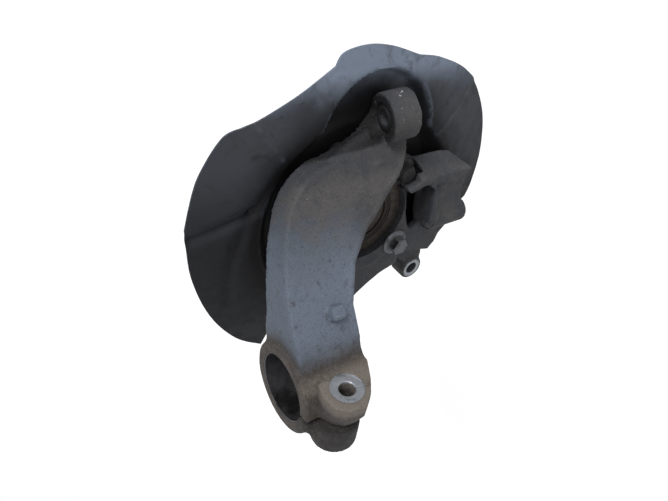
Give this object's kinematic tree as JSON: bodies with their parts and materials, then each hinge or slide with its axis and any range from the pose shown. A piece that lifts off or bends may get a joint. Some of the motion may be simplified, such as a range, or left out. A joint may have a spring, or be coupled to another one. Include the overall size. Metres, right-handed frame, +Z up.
{
  "type": "steering knuckle",
  "caption": "Front steering knuckle with strut clamp, steering arm, caliper ears, bolted wheel bearing hub and pressed brake dust shield.",
  "frame": {"origin": "on the wheel axis, in the machined face of the knuckle that the bearing unit bolts against", "axes": "+X forward, +Y outboard along the wheel axis, +Z up along the strut"},
  "size_m": [0.28, 0.225, 0.308],
  "materials": {
    "casting": "worn dark paint with dust",
    "sheet": "worn dark paint",
    "bearing_steel": "machined, light rust",
    "ball_steel": "polished",
    "cage_nylon": "matte",
    "seal_rubber": "matte",
    "fastener_steel": "zinc coated, dull"
  },
  "bodies": {
    "carrier": {"knuckle": "casting", "dust_shield": "sheet", "bearing_outer_ring": "bearing_steel", "seal_inboard": "seal_rubber", "seal_outboard": "seal_rubber", "hub_bolt_1": "fastener_steel", "hub_bolt_2": "fastener_steel", "hub_bolt_3": "fastener_steel", "shield_screw_1": "fastener_steel", "shield_screw_2": "fastener_steel", "shield_screw_3": "fastener_steel"},
    "hub": {"wheel_hub": "bearing_steel", "bearing_inner_ring": "bearing_steel", "wheel_stud_1": "fastener_steel", "wheel_stud_2": "fastener_steel", "wheel_stud_3": "fastener_steel", "wheel_stud_4": "fastener_steel", "wheel_stud_5": "fastener_steel"},
    "ball_row_inboard": {"balls_inboard": "ball_steel", "ball_cage_inboard": "cage_nylon"},
    "ball_row_outboard": {"balls_outboard": "ball_steel", "ball_cage_outboard": "cage_nylon"}
  },
  "joints": [
    {"name": "hub_spin", "type": "hinge", "parent": "carrier", "child": "hub", "pos_m": [0, 0, 0], "axis": [0, 1, 0], "continuous": true},
    {"name": "inboard_row_spin", "type": "hinge", "parent": "carrier", "child": "ball_row_inboard", "pos_m": [0, -0.007, 0], "axis": [0, 1, 0], "continuous": true},
    {"name": "outboard_row_spin", "type": "hinge", "parent": "carrier", "child": "ball_row_outboard", "pos_m": [0, 0.016, 0], "axis": [0, 1, 0], "continuous": true}
  ],
  "couplings": [
    {"joint": "inboard_row_spin", "follows": "hub_spin", "ratio": 0.395},
    {"joint": "outboard_row_spin", "follows": "hub_spin", "ratio": 0.395}
  ]
}
